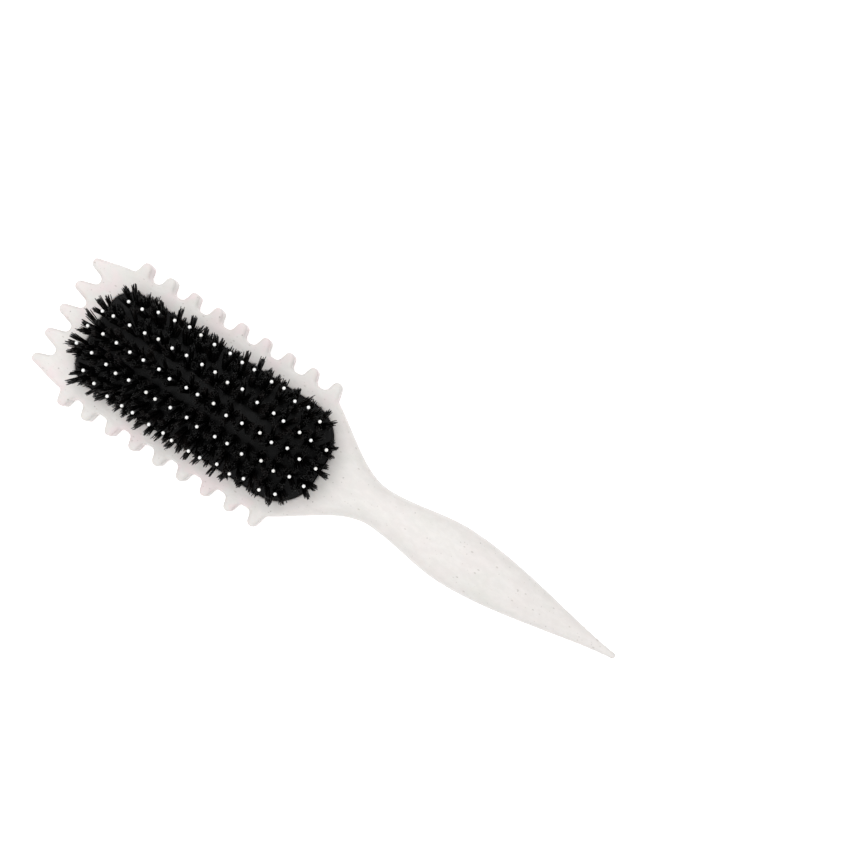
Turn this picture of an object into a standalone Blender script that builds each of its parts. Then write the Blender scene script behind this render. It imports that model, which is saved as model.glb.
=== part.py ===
"""A styling brush with toothed edges and a pointed tail, as separate solids in metres.

It lies on its back. +X runs from the tail's tip to the front teeth, +Z points out of the
bristle side, and the origin is the centre of the foot of the whole brush.
"""

import math
from collections import namedtuple

import bmesh
import bpy
from mathutils import Matrix, Vector

# Driving dimensions.
TAIL_LENGTH = 0.072  # pointed tip to the widest place of the leaf-shaped grip
WAIST_LENGTH = 0.034  # widest place of the grip to the neck
SHOULDER_LENGTH = 0.036  # neck to the full width of the head
TIP_WIDTH = 0.0022
LEAF_WIDTH = 0.0237
NECK_WIDTH = 0.0157
TIP_THICKNESS = 0.0018
LEAF_THICKNESS = 0.0120
NECK_THICKNESS = 0.0105
HEAD_THICKNESS = 0.0095  # without the ribs on the back
TAIL_FLARE = 0.117  # half-width gained per length where the tail starts
SHOULDER_FLARE = 0.53  # the same where the shoulder meets the head
FRONT_FLARE = -0.1  # the same at the head's front end, where it narrows
SIDE_ROLL = 0.23  # how deep the head's rounded sides reach in, per thickness
MOST_ROLL = 0.92  # the most of the half-width that a rounded side may take
GRIP_SQUARENESS = 2.2  # 2 is an oval section, and more is squarer
NECK_SQUARENESS = 2.3
HEAD_SQUARENESS = 3.0

PAD_LENGTH = 0.1016
PAD_WIDTH = 0.040
PAD_FRONT_RADIUS = 0.009
PAD_REAR_RADIUS = 0.015
PAD_WALL = 0.0022
HOLE_DEPTH = 1.6  # depth of the tuft holes' cutters, per wall
PAD_PROUD = 0.0005  # the pad's rim above the face of the head
PAD_CROWN = 0.0060  # the middle of the pad above its rim
PAD_OVERHANG = 0.0099  # how far the pad reaches back into the shoulder
FRONT_RIM = 0.0082  # pad to the floor of the gaps between the front teeth
SIDE_RIM = 0.00675  # pad to the floor of the gaps between the side teeth
POCKET_FLOOR = 0.0025

SIDE_TEETH = 9
SIDE_TOOTH_LENGTH = 0.00525
SIDE_TOOTH_ROOT = 0.0062
SIDE_TOOTH_TIP = 0.0036
REAR_TOOTH_INSET = 0.0016  # head's rear end to the middle of the last side tooth
FRONT_TOOTH_INSET = 0.0123  # floor of the front gaps to the middle of the first side tooth
TOOTH_ROUND = 0.0015
TOOTH_STEP = 0.0002  # the teeth's faces below the head's face

FRONT_TEETH = 5
FRONT_TOOTH_LENGTH = 0.0081
FRONT_TOOTH_ROOT = 0.0076
FRONT_TOOTH_TIP = 0.0032
FRONT_GAP_RADIUS = 0.0012
FRONT_BOW = 0.0013  # how much shorter the corner teeth are than the middle one
CORNER_INSET = 0.00535  # side of the head to the middle of a corner tooth

RIB_WIDTH = 0.0050
RIB_HEIGHT = 0.0015
EDGE = 0.0009  # chamfer of the teeth and ribs

ROW_COUNTS = (15, 17, 17, 17, 15)  # tufts in each lengthwise row
PIN_END_MARGIN = 0.0036  # pad's end to the last tuft of a long row
PIN_SIDE_MARGIN = 0.0057  # pad's side to the outer rows
PIN_DIAMETER = 0.0010
PIN_LENGTH = 0.0136  # pad's surface to the top of the ball
BALL_DIAMETER = 0.0015
TUFT_DIAMETER = 0.0030
TUFT_HEIGHT = 0.0118
TUFT_STRAIGHT = 0.0010  # height of a tuft's straight root above the pad
TUFT_OVERLAP = 0.0005  # how far neighbouring tufts splay into each other
STRIP_WIDTH = 0.0018
STRIP_HEIGHT = 0.0012

GAP = 0.0003  # clearance between separate pieces

# Places that follow from them.
OVERALL_LENGTH = (
    TAIL_LENGTH + WAIST_LENGTH + SHOULDER_LENGTH
    - PAD_OVERHANG + PAD_LENGTH + FRONT_RIM + FRONT_TOOTH_LENGTH
)
TAIL_X = -OVERALL_LENGTH / 2
LEAF_X = TAIL_X + TAIL_LENGTH
NECK_X = LEAF_X + WAIST_LENGTH
HEAD_X = NECK_X + SHOULDER_LENGTH
PAD_REAR_X = HEAD_X - PAD_OVERHANG
PAD_X = PAD_REAR_X + PAD_LENGTH / 2
GAP_X = PAD_REAR_X + PAD_LENGTH + FRONT_RIM
TIP_X = GAP_X + FRONT_TOOTH_LENGTH
HEAD_HALF_WIDTH = PAD_WIDTH / 2 + SIDE_RIM
BACK_Z = RIB_HEIGHT
FACE_Z = BACK_Z + HEAD_THICKNESS
HEAD_MIDDLE_Z = (BACK_Z + FACE_Z) / 2
GRIP_MIDDLE_Z = max(HEAD_MIDDLE_Z, LEAF_THICKNESS / 2 + GAP)
FLOOR_Z = BACK_Z + POCKET_FLOOR
RIM_Z = FACE_Z + PAD_PROUD
TOOTH_LOW_Z = BACK_Z + TOOTH_STEP
TOOTH_HIGH_Z = FACE_Z - TOOTH_STEP

# How finely the round shapes are drawn.
ROUND_STEPS = 3
PAD_CORNER_STEPS = 5
SECTION_STEPS = 10
STATION_STEPS = (12, 6, 9, 1, 2)  # between each two set sections
MOST_REACH = 0.49  # the most of a side that a rounded corner may take
PIN_SIDES = 6
PIN_TWIST = math.radians(8)  # turns the flats, so that neighbouring tufts don't meet edge on edge
DOME_RINGS = (1.0, 0.88, 0.72, 0.50, 0.25, 0.02)
DOME_STEP = 0.012

Station = namedtuple(
    "Station", "x half_width slope_before slope_after thickness middle edge squareness"
)


def clear_scene():
    """Removes whatever the scene holds."""
    for thing in list(bpy.data.objects):
        bpy.data.objects.remove(thing, do_unlink=True)


def new_material(name, colour, roughness):
    """A plain plastic of one linear colour."""
    material = bpy.data.materials.new(name)
    material.use_nodes = True
    shader = material.node_tree.nodes["Principled BSDF"]
    shader.inputs["Base Color"].default_value = (*colour, 1.0)
    shader.inputs["Roughness"].default_value = roughness
    shader.inputs["Metallic"].default_value = 0.0
    return material


def new_object(name, mesh_maker, material=None):
    """An object made from a bmesh. One with no material is a helper and stays out of renders."""
    bmesh.ops.recalc_face_normals(mesh_maker, faces=mesh_maker.faces[:])
    mesh = bpy.data.meshes.new(name)
    mesh_maker.to_mesh(mesh)
    mesh_maker.free()
    made = bpy.data.objects.new(name, mesh)
    bpy.context.scene.collection.objects.link(made)
    if material is None:
        made.hide_render = True
        made.display_type = "WIRE"
    else:
        mesh.materials.append(material)
        mesh.shade_smooth()
        mesh.set_sharp_from_angle(angle=math.radians(35))
    return made


def add_boolean(target, helper, operation):
    """Joins the helper to the target, or cuts it out."""
    modifier = target.modifiers.new(f"{operation.lower()}_{helper.name}", "BOOLEAN")
    modifier.operation = operation
    modifier.solver = "EXACT"
    modifier.object = helper


def hermite(start, end, slope_start, slope_end, share):
    """A smooth curve from start to end over one unit, with these slopes at its ends."""
    square = share * share
    cube = square * share
    return (
        start * (2 * cube - 3 * square + 1)
        + slope_start * (cube - 2 * square + share)
        + end * (3 * square - 2 * cube)
        + slope_end * (cube - square)
    )


def rounded_outline(corners, steps):
    """The points of a closed outline from its corners (x, y, radius), each rounded by an arc."""
    points = []
    for i, (x, y, radius) in enumerate(corners):
        corner = Vector((x, y))
        before = Vector(corners[i - 1][:2]) - corner
        after = Vector(corners[(i + 1) % len(corners)][:2]) - corner
        if radius == 0:
            points.append(corner)
            continue
        half_angle = before.angle(after) / 2
        reach = min(radius / math.tan(half_angle), MOST_REACH * min(before.length, after.length))
        radius = reach * math.tan(half_angle)
        middle = (before.normalized() + after.normalized()).normalized()
        centre = corner + middle * (radius / math.sin(half_angle))
        first = corner + before.normalized() * reach - centre
        last = corner + after.normalized() * reach - centre
        turn = math.atan2(first.cross(last), first.dot(last))
        for step in range(steps + 1):
            points.append(centre + Matrix.Rotation(turn * step / steps, 2) @ first)
    return points


def with_steps(points, longest):
    """The same outline with its long straight sides cut into steps."""
    stepped = []
    for point, following in zip(points, points[1:] + points[:1]):
        count = math.ceil((following - point).length / longest)
        stepped += [point.lerp(following, step / count) for step in range(count)]
    return stepped


def pad_outline(offset):
    """The pad's outline in plan, grown by an offset."""
    front = PAD_X + PAD_LENGTH / 2 + offset
    rear = PAD_X - PAD_LENGTH / 2 - offset
    side = PAD_WIDTH / 2 + offset
    corners = (
        (rear, -side, PAD_REAR_RADIUS + offset),
        (front, -side, PAD_FRONT_RADIUS + offset),
        (front, side, PAD_FRONT_RADIUS + offset),
        (rear, side, PAD_REAR_RADIUS + offset),
    )
    return rounded_outline(corners, PAD_CORNER_STEPS)


def add_prism(maker, outline, low, high, chamfer=0.0):
    """Adds an upright prism of the outline between two heights, with its two rims chamfered."""
    face = maker.faces.new([maker.verts.new((x, y, low)) for x, y in outline])
    rims = list(face.edges)
    extruded = bmesh.ops.extrude_face_region(maker, geom=[face], use_keep_orig=True)["geom"]
    tops = [item for item in extruded if isinstance(item, bmesh.types.BMVert)]
    bmesh.ops.translate(maker, verts=tops, vec=(0, 0, high - low))
    rims += [item for item in extruded if isinstance(item, bmesh.types.BMEdge)]
    if chamfer:
        bmesh.ops.bevel(
            maker, geom=rims, offset=chamfer, offset_type="OFFSET", segments=1,
            profile=0.5, affect="EDGES", clamp_overlap=False, material=-1,
        )


def add_rings(maker, rings):
    """Adds a skin through rings of points, and returns the rings as vertices."""
    loops = [[maker.verts.new(point) for point in ring] for ring in rings]
    for first, second in zip(loops, loops[1:]):
        for i, vert in enumerate(first):
            maker.faces.new((first[i - 1], vert, second[i], second[i - 1]))
    return loops


def add_loft(maker, rings):
    """Adds a closed skin through rings of points, with both of its ends capped."""
    loops = add_rings(maker, rings)
    maker.faces.new(loops[0])
    maker.faces.new(loops[-1])


def add_turned(maker, profile, closed, placed):
    """Adds a profile of (radius, height) turned about Z, then placed by a matrix."""
    before = set(maker.verts)
    verts = [maker.verts.new((radius, 0, height)) for radius, height in profile]
    edges = [maker.edges.new(pair) for pair in zip(verts, verts[1:])]
    if closed:
        edges.append(maker.edges.new((verts[-1], verts[0])))
    bmesh.ops.spin(
        maker, geom=verts + edges, cent=(0, 0, 0), axis=(0, 0, 1), dvec=(0, 0, 0),
        angle=2 * math.pi, steps=PIN_SIDES, use_merge=True,
    )
    turned = [vert for vert in maker.verts if vert not in before]
    bmesh.ops.remove_doubles(maker, verts=turned, dist=0.00001)
    turned = [vert for vert in maker.verts if vert not in before]
    bmesh.ops.transform(
        maker, matrix=placed @ Matrix.Rotation(PIN_TWIST, 4, "Z"), verts=turned
    )


# The body: one moulding from the pointed tail to the front teeth.


def body_stations():
    """The places along the body where its section is set."""
    taper_x = GAP_X - FRONT_TOOTH_INSET + SIDE_TOOTH_ROOT / 3
    end_x = GAP_X - TOOTH_ROUND / 2
    end_width = HEAD_HALF_WIDTH - TOOTH_ROUND
    end_thickness = TOOTH_HIGH_Z - TOOTH_LOW_Z - TOOTH_STEP
    full = 1.0
    roll = HEAD_THICKNESS * SIDE_ROLL / HEAD_HALF_WIDTH
    return (
        Station(
            TAIL_X, TIP_WIDTH / 2, 0, TAIL_FLARE, TIP_THICKNESS, GRIP_MIDDLE_Z,
            full, GRIP_SQUARENESS,
        ),
        Station(LEAF_X, LEAF_WIDTH / 2, 0, 0, LEAF_THICKNESS, GRIP_MIDDLE_Z, full, GRIP_SQUARENESS),
        Station(NECK_X, NECK_WIDTH / 2, 0, 0, NECK_THICKNESS, GRIP_MIDDLE_Z, full, NECK_SQUARENESS),
        Station(
            HEAD_X, HEAD_HALF_WIDTH, SHOULDER_FLARE, 0, HEAD_THICKNESS, HEAD_MIDDLE_Z,
            roll, HEAD_SQUARENESS,
        ),
        Station(
            taper_x, HEAD_HALF_WIDTH, 0, 0, HEAD_THICKNESS, HEAD_MIDDLE_Z,
            roll, HEAD_SQUARENESS,
        ),
        Station(
            end_x, end_width, FRONT_FLARE, 0, end_thickness, HEAD_MIDDLE_Z,
            roll, HEAD_SQUARENESS,
        ),
    )


def station_between(first, second, share):
    """The body's section at a share of the way between two stations."""
    span = second.x - first.x
    half_width = hermite(
        first.half_width, second.half_width,
        first.slope_after * span, second.slope_before * span, share,
    )
    blended = [
        hermite(getattr(first, name), getattr(second, name), 0, 0, share)
        for name in ("thickness", "middle", "edge", "squareness")
    ]
    return Station(first.x + span * share, half_width, 0, 0, *blended)


def section_ring(station):
    """The points round one section: a flat slab whose sides are parts of a squarish oval."""
    run = min(station.edge, MOST_ROLL) * station.half_width
    ring = []
    for side in (1, -1):
        for step in range(SECTION_STEPS + 1):
            angle = math.pi * (step / SECTION_STEPS - 0.5)
            out = abs(math.cos(angle)) ** (2 / station.squareness)
            up = math.copysign(abs(math.sin(angle)) ** (2 / station.squareness), angle)
            y = side * (station.half_width - run + run * out)
            z = station.middle + side * up * station.thickness / 2
            ring.append((station.x, y, z))
    return ring


def slab_maker():
    """The smooth part of the body, with no teeth, ribs or pocket."""
    stations = body_stations()
    rings = [section_ring(stations[0])]
    for first, second, count in zip(stations, stations[1:], STATION_STEPS):
        for step in range(1, count + 1):
            rings.append(section_ring(station_between(first, second, step / count)))
    maker = bmesh.new()
    add_loft(maker, rings)
    return maker


def side_tooth_places():
    """The X of each pair of side teeth, from the shoulder to the front."""
    rear = HEAD_X + REAR_TOOTH_INSET
    front = GAP_X - FRONT_TOOTH_INSET
    return [rear + (front - rear) * i / (SIDE_TEETH - 1) for i in range(SIDE_TEETH)]


def rib_outline(x):
    """The plan of one rib across the back, which ends in a side tooth at each side."""
    right = [
        (RIB_WIDTH / 2, HEAD_HALF_WIDTH - RIB_WIDTH, 0),
        (SIDE_TOOTH_ROOT / 2, HEAD_HALF_WIDTH, 0),
        (SIDE_TOOTH_TIP / 2, HEAD_HALF_WIDTH + SIDE_TOOTH_LENGTH, TOOTH_ROUND),
    ]
    left = [(-across, y, radius) for across, y, radius in reversed(right)]
    upper = [(x + across, y, radius) for across, y, radius in right + left]
    lower = [(2 * x - px, -py, radius) for px, py, radius in upper]
    return rounded_outline(upper + lower, ROUND_STEPS)


def comb_outline():
    """The plan of the front of the head, with its row of teeth."""
    half = FRONT_TOOTH_TIP / 2
    root = FRONT_TOOTH_ROOT / 2
    corner_y = HEAD_HALF_WIDTH - CORNER_INSET
    back_x = GAP_X - FRONT_RIM - GAP
    back_y = HEAD_HALF_WIDTH - TOOTH_STEP * 2
    corners = [(back_x, -back_y, 0)]
    for i in range(FRONT_TEETH):
        share = 2 * i / (FRONT_TEETH - 1) - 1
        y = share * corner_y
        tip_x = TIP_X - FRONT_BOW * share**2
        if i > 0:
            corners.append((GAP_X, y - root, FRONT_GAP_RADIUS))
        corners.append((tip_x, y - half, TOOTH_ROUND))
        corners.append((tip_x, y + half, TOOTH_ROUND))
        if i < FRONT_TEETH - 1:
            corners.append((GAP_X, y + root, FRONT_GAP_RADIUS))
    corners.append((back_x, back_y, 0))
    return rounded_outline(corners, ROUND_STEPS)


def make_body(plastic):
    """The body with its teeth, its ribs and the pocket for the pad."""
    body = new_object("body", slab_maker(), plastic)
    ribs = bmesh.new()
    for x in side_tooth_places():
        add_prism(ribs, rib_outline(x), 0.0, TOOTH_HIGH_Z, EDGE)
    add_boolean(body, new_object("rib_helper", ribs), "UNION")
    comb = bmesh.new()
    add_prism(comb, comb_outline(), TOOTH_LOW_Z, TOOTH_HIGH_Z, EDGE)
    add_boolean(body, new_object("comb_helper", comb), "UNION")
    pocket = bmesh.new()
    add_prism(pocket, pad_outline(GAP), FLOOR_Z, FACE_Z + PAD_CROWN)
    add_boolean(body, new_object("pocket_cutter", pocket), "DIFFERENCE")
    return body


# The pad: a domed shell with a hole for each tuft.


def dome_height(x, y):
    """Height of the pad's upper surface."""
    along = 1 - ((x - PAD_X) / (PAD_LENGTH / 2)) ** 2
    across = 1 - (y / (PAD_WIDTH / 2)) ** 2
    return RIM_Z + PAD_CROWN * along * across


def dome_normal(x, y):
    """Direction in which a tuft stands at this place of the pad."""
    along = (x - PAD_X) / (PAD_LENGTH / 2)
    across = y / (PAD_WIDTH / 2)
    slope_x = 2 * PAD_CROWN * along * (1 - across**2) / (PAD_LENGTH / 2)
    slope_y = 2 * PAD_CROWN * across * (1 - along**2) / (PAD_WIDTH / 2)
    return Vector((slope_x, slope_y, 1)).normalized()


def row_seats(row):
    """The place and direction of each tuft of a row, as matrices whose Z leaves the pad."""
    pitch = (PAD_LENGTH - 2 * PIN_END_MARGIN) / (max(ROW_COUNTS) - 1)
    spacing = 2 * (PAD_WIDTH / 2 - PIN_SIDE_MARGIN) / (len(ROW_COUNTS) - 1)
    y = (row - (len(ROW_COUNTS) - 1) / 2) * spacing
    seats = []
    for i in range(ROW_COUNTS[row]):
        x = PAD_X + (i - (ROW_COUNTS[row] - 1) / 2) * pitch
        up = dome_normal(x, y)
        across = up.cross(Vector((1, 0, 0))).normalized()
        along = across.cross(up)
        leaned = Matrix((along, across, up)).transposed().to_4x4()
        seats.append(Matrix.Translation((x, y, dome_height(x, y))) @ leaned)
    return seats


def shell_rings(outline, drop, foot_z):
    """The rings of one skin of the pad, from its middle out to the rim and down to its foot."""
    rings = []
    for share in reversed(DOME_RINGS):
        plan = [(PAD_X + (x - PAD_X) * share, y * share) for x, y in outline]
        rings.append([(x, y, dome_height(x, y) - drop) for x, y in plan])
    rings.append([(x, y, foot_z) for x, y in outline])
    return rings


def make_pad(plastic):
    """The domed shell, open below, with a round hole for each tuft."""
    foot_z = FLOOR_Z + GAP
    outer = shell_rings(with_steps(pad_outline(0), DOME_STEP), 0, foot_z)
    inner = shell_rings(with_steps(pad_outline(-PAD_WALL), DOME_STEP), PAD_WALL, foot_z)
    maker = bmesh.new()
    loops = add_rings(maker, outer + inner[::-1])
    caps = [maker.faces.new(loops[0]), maker.faces.new(loops[-1])]
    bmesh.ops.poke(maker, faces=caps)
    pad = new_object("bristle_pad", maker, plastic)
    holes = bmesh.new()
    radius = TUFT_DIAMETER / 2 + GAP
    low = -PAD_WALL * HOLE_DEPTH
    high = PAD_WALL
    profile = ((0, low), (radius, low), (radius, high), (0, high))
    for row in range(len(ROW_COUNTS)):
        for seat in row_seats(row):
            add_turned(holes, profile, False, seat)
    add_boolean(pad, new_object("hole_cutter", holes), "DIFFERENCE")
    return pad


# The pins: each row is a comb of ball-tipped pins on a strip under the pad.


def strip_maker(seats):
    """The bar that joins the roots of one row of pins."""
    depth = PAD_WALL + GAP + STRIP_HEIGHT / 2
    wide = STRIP_WIDTH / 2
    high = STRIP_HEIGHT / 2
    section = ((wide, -high), (wide, high), (-wide, high), (-wide, -high))
    places = [(seat, 0.0) for seat in seats]
    places[0] = (seats[0], -wide)
    places[-1] = (seats[-1], wide)
    rings = [
        [seat @ Vector((run, across, up - depth)) for across, up in section]
        for seat, run in places
    ]
    maker = bmesh.new()
    add_loft(maker, rings)
    return maker


def make_pin_strip(row, nylon):
    """One row of pins with the strip that joins their roots."""
    seats = row_seats(row)
    strip = new_object(f"pin_strip_{row + 1}", strip_maker(seats), nylon)
    root = -(PAD_WALL + GAP + STRIP_HEIGHT / 2)
    radius = PIN_DIAMETER / 2
    ball = BALL_DIAMETER / 2
    profile = (
        (0, root),
        (radius, root),
        (radius, PIN_LENGTH - 2 * ball),
        (ball, PIN_LENGTH - ball),
        (0, PIN_LENGTH),
    )
    pins = bmesh.new()
    for seat in seats:
        add_turned(pins, profile, False, seat)
    add_boolean(strip, new_object(f"pin_helper_{row + 1}", pins), "UNION")
    return strip


# The tufts: each is a splayed sleeve round its pin, and runs into its neighbours at the top.


def make_tuft_row(row, bristle):
    """One row of tufts, joined where their splayed ends meet."""
    seats = row_seats(row)
    tips = [seat @ Vector((0, 0, TUFT_HEIGHT)) for seat in seats]
    bore = PIN_DIAMETER / 2 + GAP
    root = TUFT_DIAMETER / 2
    alternate = (bmesh.new(), bmesh.new())
    for i, seat in enumerate(seats):
        near = [(tips[i] - tips[j]).length for j in (i - 1, i + 1) if 0 <= j < len(tips)]
        splay = max(near) / 2 + TUFT_OVERLAP
        profile = (
            (bore, GAP / 2 - PAD_WALL),
            (root, GAP / 2 - PAD_WALL),
            (root, TUFT_STRAIGHT),
            (splay, TUFT_HEIGHT),
            (bore, TUFT_HEIGHT),
        )
        add_turned(alternate[i % 2], profile, True, seat)
    tufts = new_object(f"tuft_row_{row + 1}", alternate[0], bristle)
    add_boolean(tufts, new_object(f"tuft_helper_{row + 1}", alternate[1]), "UNION")
    return tufts


def main():
    """Builds the brush from its sub-parts."""
    clear_scene()
    make_body(new_material("filled_plastic", (0.80, 0.77, 0.74), 0.45))
    make_pad(new_material("pad_plastic", (0.012, 0.012, 0.013), 0.5))
    nylon = new_material("pin_nylon", (0.02, 0.02, 0.02), 0.35)
    bristle = new_material("bristle", (0.010, 0.009, 0.008), 0.6)
    for row in range(len(ROW_COUNTS)):
        make_pin_strip(row, nylon)
        make_tuft_row(row, bristle)


main()
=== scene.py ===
"""Looks of a salon styling brush.

One moulding of straw-filled plastic carries comb teeth round a flat head, ribs across its back and
a leaf-shaped grip that runs out to a sectioning tail. A black domed pad in the head holds five rows
of bristle tufts, each with a ball-tipped pin in its middle.
"""

import logging
import math
import random
from dataclasses import dataclass
from enum import Enum

import bmesh
import bpy
from mathutils import Matrix, Vector


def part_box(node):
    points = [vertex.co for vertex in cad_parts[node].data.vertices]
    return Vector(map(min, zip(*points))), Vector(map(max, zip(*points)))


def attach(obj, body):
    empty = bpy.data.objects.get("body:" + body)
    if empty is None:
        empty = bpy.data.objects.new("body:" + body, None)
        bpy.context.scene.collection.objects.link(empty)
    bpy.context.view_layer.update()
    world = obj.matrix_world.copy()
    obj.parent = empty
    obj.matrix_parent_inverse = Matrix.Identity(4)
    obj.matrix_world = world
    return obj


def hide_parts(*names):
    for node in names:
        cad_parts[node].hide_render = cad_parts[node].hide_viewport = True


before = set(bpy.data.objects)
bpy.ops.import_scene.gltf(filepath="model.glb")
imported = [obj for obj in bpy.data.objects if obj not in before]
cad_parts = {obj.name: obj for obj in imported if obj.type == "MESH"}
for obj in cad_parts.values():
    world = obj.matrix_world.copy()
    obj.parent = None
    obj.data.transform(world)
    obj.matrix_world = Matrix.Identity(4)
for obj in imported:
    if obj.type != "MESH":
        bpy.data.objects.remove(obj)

MM = 0.001
HAIR_TURN = 2.39996  # the golden angle
LOG = logging.getLogger("styling_brush")

Corner = tuple[float, float, float]
Colour = tuple[float, float, float, float]


class Slot(Enum):
    """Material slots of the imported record."""

    BODY = "filled_plastic"
    PAD = "pad_plastic"
    PIN = "pin_nylon"
    TUFT = "bristle"


class Side(Enum):
    """The two long sides of the head, by the sign of y."""

    RIGHT = -1
    LEFT = 1


# Shared helpers


def linear(code: str) -> Colour:
    """Turn an sRGB hex colour into linear light.

    Args:
        code: six hex digits, with or without a leading #.

    Returns:
        Linear red, green, blue and an alpha of one.
    """
    digits = code.lstrip("#")
    shares = [int(digits[i : i + 2], 16) / 255 for i in (0, 2, 4)]
    light = [s / 12.92 if s <= 0.04045 else ((s + 0.055) / 1.055) ** 2.4 for s in shares]
    return (*light, 1.0)


def per_mm(size: float) -> float:
    """Texture scale whose features are about size millimetres across."""
    return 1.0 / (size * MM)


def add_node(
    tree: bpy.types.NodeTree,
    kind: str,
    inputs: dict[str | int, object] | None = None,
    **settings: object,
) -> bpy.types.Node:
    """Add one node with its settings and inputs.

    Args:
        tree: the material's node tree.
        kind: the node's type name without its ShaderNode prefix.
        inputs: input name or number to the output socket that feeds it, or to its value.
        **settings: the node's properties.

    Returns:
        The new node.
    """
    node = tree.nodes.new("ShaderNode" + kind)
    for name, value in settings.items():
        setattr(node, name, value)
    for name, value in (inputs or {}).items():
        if isinstance(value, bpy.types.NodeSocket):
            tree.links.new(value, node.inputs[name])
        else:
            node.inputs[name].default_value = value
    return node


def new_material(
    name: str, **inputs: object
) -> tuple[bpy.types.Material, bpy.types.NodeTree, bpy.types.Node, bpy.types.NodeSocket]:
    """Start a node material.

    Args:
        name: the finish's name.
        **inputs: fixed inputs of its shader, by name with _ for a space.

    Returns:
        The material, its node tree, its shader node and the object's coordinates.
    """
    material = bpy.data.materials.new(name)
    material.use_nodes = True
    tree = material.node_tree
    tree.nodes.clear()
    fixed = {key.replace("_", " "): value for key, value in inputs.items()}
    shader = add_node(tree, "BsdfPrincipled", fixed)
    add_node(tree, "OutputMaterial", {"Surface": shader.outputs["BSDF"]})
    return material, tree, shader, add_node(tree, "TexCoord").outputs["Object"]


def noise(
    tree: bpy.types.NodeTree,
    place: bpy.types.NodeSocket,
    size: float,
    detail: float,
    rough: float = 0.5,
) -> bpy.types.Node:
    """Add a noise.

    Args:
        tree: the material's node tree.
        place: the coordinates to draw it in.
        size: the size of its features in millimetres.
        detail: how many finer layers it has.
        rough: how strong those are.

    Returns:
        The noise's node.
    """
    inputs = {"Vector": place, "Scale": per_mm(size), "Detail": detail, "Roughness": rough}
    return add_node(tree, "TexNoise", inputs)


def ramp(
    tree: bpy.types.NodeTree, source: bpy.types.NodeSocket, low: float, high: float
) -> bpy.types.NodeSocket:
    """Stretch a value between low and high to the whole span from nought to one.

    Args:
        tree: the material's node tree.
        source: the value.
        low: input that becomes nought.
        high: input that becomes one.

    Returns:
        The stretched value.
    """
    span = {"Value": source, "From Min": low, "From Max": high}
    return add_node(tree, "MapRange", span, interpolation_type="SMOOTHSTEP").outputs[0]


def blend_colour(
    tree: bpy.types.NodeTree,
    share: bpy.types.NodeSocket,
    below: bpy.types.NodeSocket | Colour,
    above: bpy.types.NodeSocket | Colour,
) -> bpy.types.NodeSocket:
    """Mix two colours by a share that varies over the surface.

    Args:
        tree: the material's node tree.
        share: how much of the second colour shows.
        below: the first colour.
        above: the second colour.

    Returns:
        The mixed colour.
    """
    return add_node(tree, "Mix", {0: share, 6: below, 7: above}, data_type="RGBA").outputs[2]


def math_node(
    tree: bpy.types.NodeTree, operation: str, *values: bpy.types.NodeSocket | float
) -> bpy.types.NodeSocket:
    """Work out one sum or comparison over the surface.

    Args:
        tree: the material's node tree.
        operation: Blender's name for it.
        *values: what it works on.

    Returns:
        The result.
    """
    return add_node(tree, "Math", dict(enumerate(values)), operation=operation).outputs[0]


def piece_from(maker: bmesh.types.BMesh, name: str, smooth: bool = True) -> bpy.types.Object:
    """Turn a finished bmesh into an object at the origin.

    Args:
        maker: the bmesh, which is freed.
        name: the piece's name.
        smooth: whether its faces are shaded smooth.

    Returns:
        The new object.
    """
    mesh = bpy.data.meshes.new(name)
    for face in maker.faces:
        face.smooth = smooth
    maker.to_mesh(mesh)
    maker.free()
    piece = bpy.data.objects.new(name, mesh)
    bpy.context.scene.collection.objects.link(piece)
    return piece


def bake_modifiers(piece: bpy.types.Object) -> None:
    """Make a piece's modifiers part of its mesh.

    Args:
        piece: the object, which keeps no modifier.
    """
    graph = bpy.context.evaluated_depsgraph_get()
    graph.update()
    done = bpy.data.meshes.new_from_object(piece.evaluated_get(graph))
    piece.modifiers.clear()
    piece.data = done


def close_open_rim(maker: bmesh.types.BMesh) -> None:
    """Fill whatever rims are open, and turn every face outwards.

    Args:
        maker: the bmesh.
    """
    rims = [edge for edge in maker.edges if edge.is_boundary]
    bmesh.ops.holes_fill(maker, edges=rims, sides=0)
    bmesh.ops.recalc_face_normals(maker, faces=maker.faces[:])


def settle(piece: bpy.types.Object, slot: Slot, *nodes: str) -> None:
    """Tie a piece to the frame.

    Args:
        piece: the finished piece.
        slot: the record slot of its finish; not used.
        *nodes: the CAD nodes that it stands for.
    """
    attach(piece, "root")
    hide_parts(*nodes)
    LOG.info("%s: %d faces, stands for %s", piece.name, len(piece.data.polygons), ", ".join(nodes))


# Finishes


@dataclass(frozen=True)
class Flecks:
    """One kind of fleck in the plastic, at most one to a cell, of uneven size.

    The radius is a share of the cell, kept is the share of cells that hold a fleck, and depth is
    how much of its colour shows.
    """

    spacing_mm: float
    radius: float
    kept: float
    depth: float

    def mask(self, tree: bpy.types.NodeTree, place: bpy.types.NodeSocket) -> bpy.types.NodeSocket:
        """Scatter the flecks.

        Args:
            tree: the material's node tree.
            place: the coordinates to scatter them in.

        Returns:
            A mask that is depth inside a fleck and nought elsewhere.
        """
        grid = {"Vector": place, "Scale": per_mm(self.spacing_mm), "Randomness": 1.0}
        cells = add_node(tree, "TexVoronoi", grid, feature="F1")
        draw = add_node(tree, "SeparateColor", {"Color": cells.outputs["Color"]})
        picked = math_node(tree, "LESS_THAN", draw.outputs[0], self.kept)
        size = math_node(
            tree, "MULTIPLY_ADD", draw.outputs[1], self.radius * 0.7, self.radius * 0.3
        )
        inside = math_node(tree, "SUBTRACT", size, cells.outputs["Distance"])
        dots = math_node(tree, "MULTIPLY", ramp(tree, inside, 0.0, self.radius * 0.35), picked)
        return math_node(tree, "MULTIPLY", dots, self.depth)


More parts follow.
